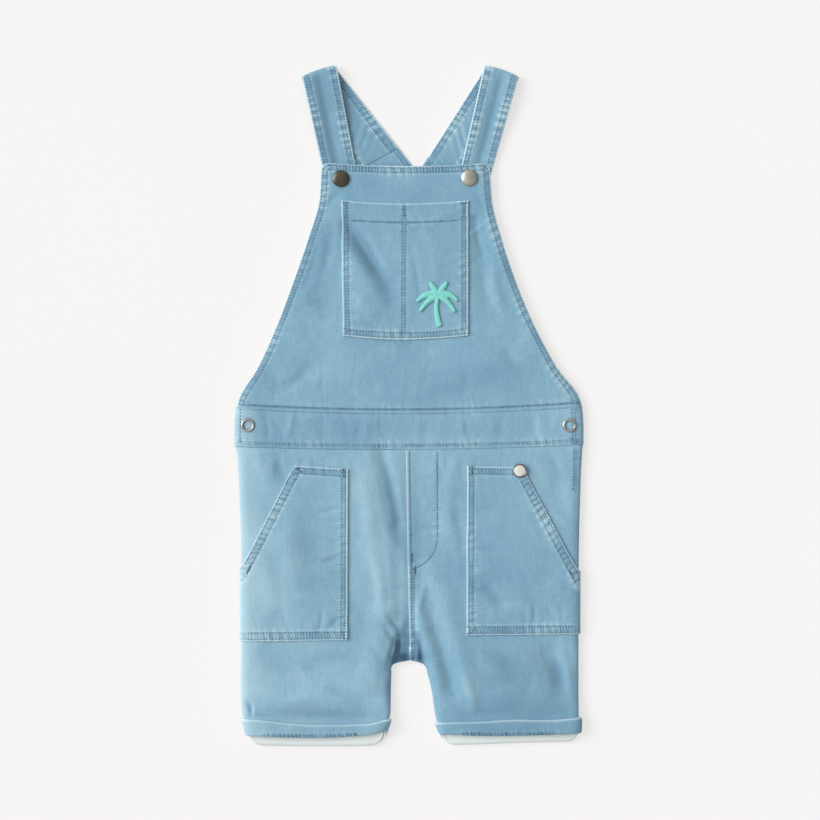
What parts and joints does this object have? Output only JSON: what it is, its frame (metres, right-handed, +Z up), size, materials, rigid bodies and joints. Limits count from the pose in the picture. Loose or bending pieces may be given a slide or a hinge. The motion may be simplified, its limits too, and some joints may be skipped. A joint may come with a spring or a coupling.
{
  "type": "baby romper",
  "caption": "Short bib overalls for a baby in light blue denim, laid flat: bib with pocket and palm motif, snap-fastened straps, waistband, slanted hip pockets, turned-up cuffs.",
  "frame": {"origin": "on the surface that the garment lies on, under the middle of its box", "axes": "+Z up from the surface through the front, +Y from the legs to the straps, +X to the viewer's right looking down on the front"},
  "size_m": [0.2508, 0.4895, 0.0099],
  "materials": {
    "denim": "light blue washed stretch denim, fine twill, paler on worn edges and on the wrong side",
    "cap_dark": "antique brass, dark",
    "cap_bright": "brushed nickel plate",
    "ring_metal": "nickel plate, slightly warm",
    "rivet_metal": "pale flat centre in an antique brass rim",
    "palm_green": "soft puffed mint green print, satin"
  },
  "bodies": {
    "root": {"front_bib": "denim", "front_waistband": "denim", "front_leg_left": "denim", "front_leg_right": "denim", "back_bib": "denim", "back_waistband": "denim", "back_leg_left": "denim", "back_leg_right": "denim", "strap_left": "denim", "strap_right": "denim", "bib_pocket": "denim", "hip_pocket_left": "denim", "hip_pocket_right": "denim", "cuff_front_left": "denim", "cuff_front_right": "denim", "cuff_back_left": "denim", "cuff_back_right": "denim", "bib_cap_left": "cap_dark", "bib_cap_right": "cap_bright", "ring_snap_left": "ring_metal", "ring_snap_right": "ring_metal", "pocket_rivet": "rivet_metal", "palm_applique": "palm_green"}
  },
  "joints": []
}
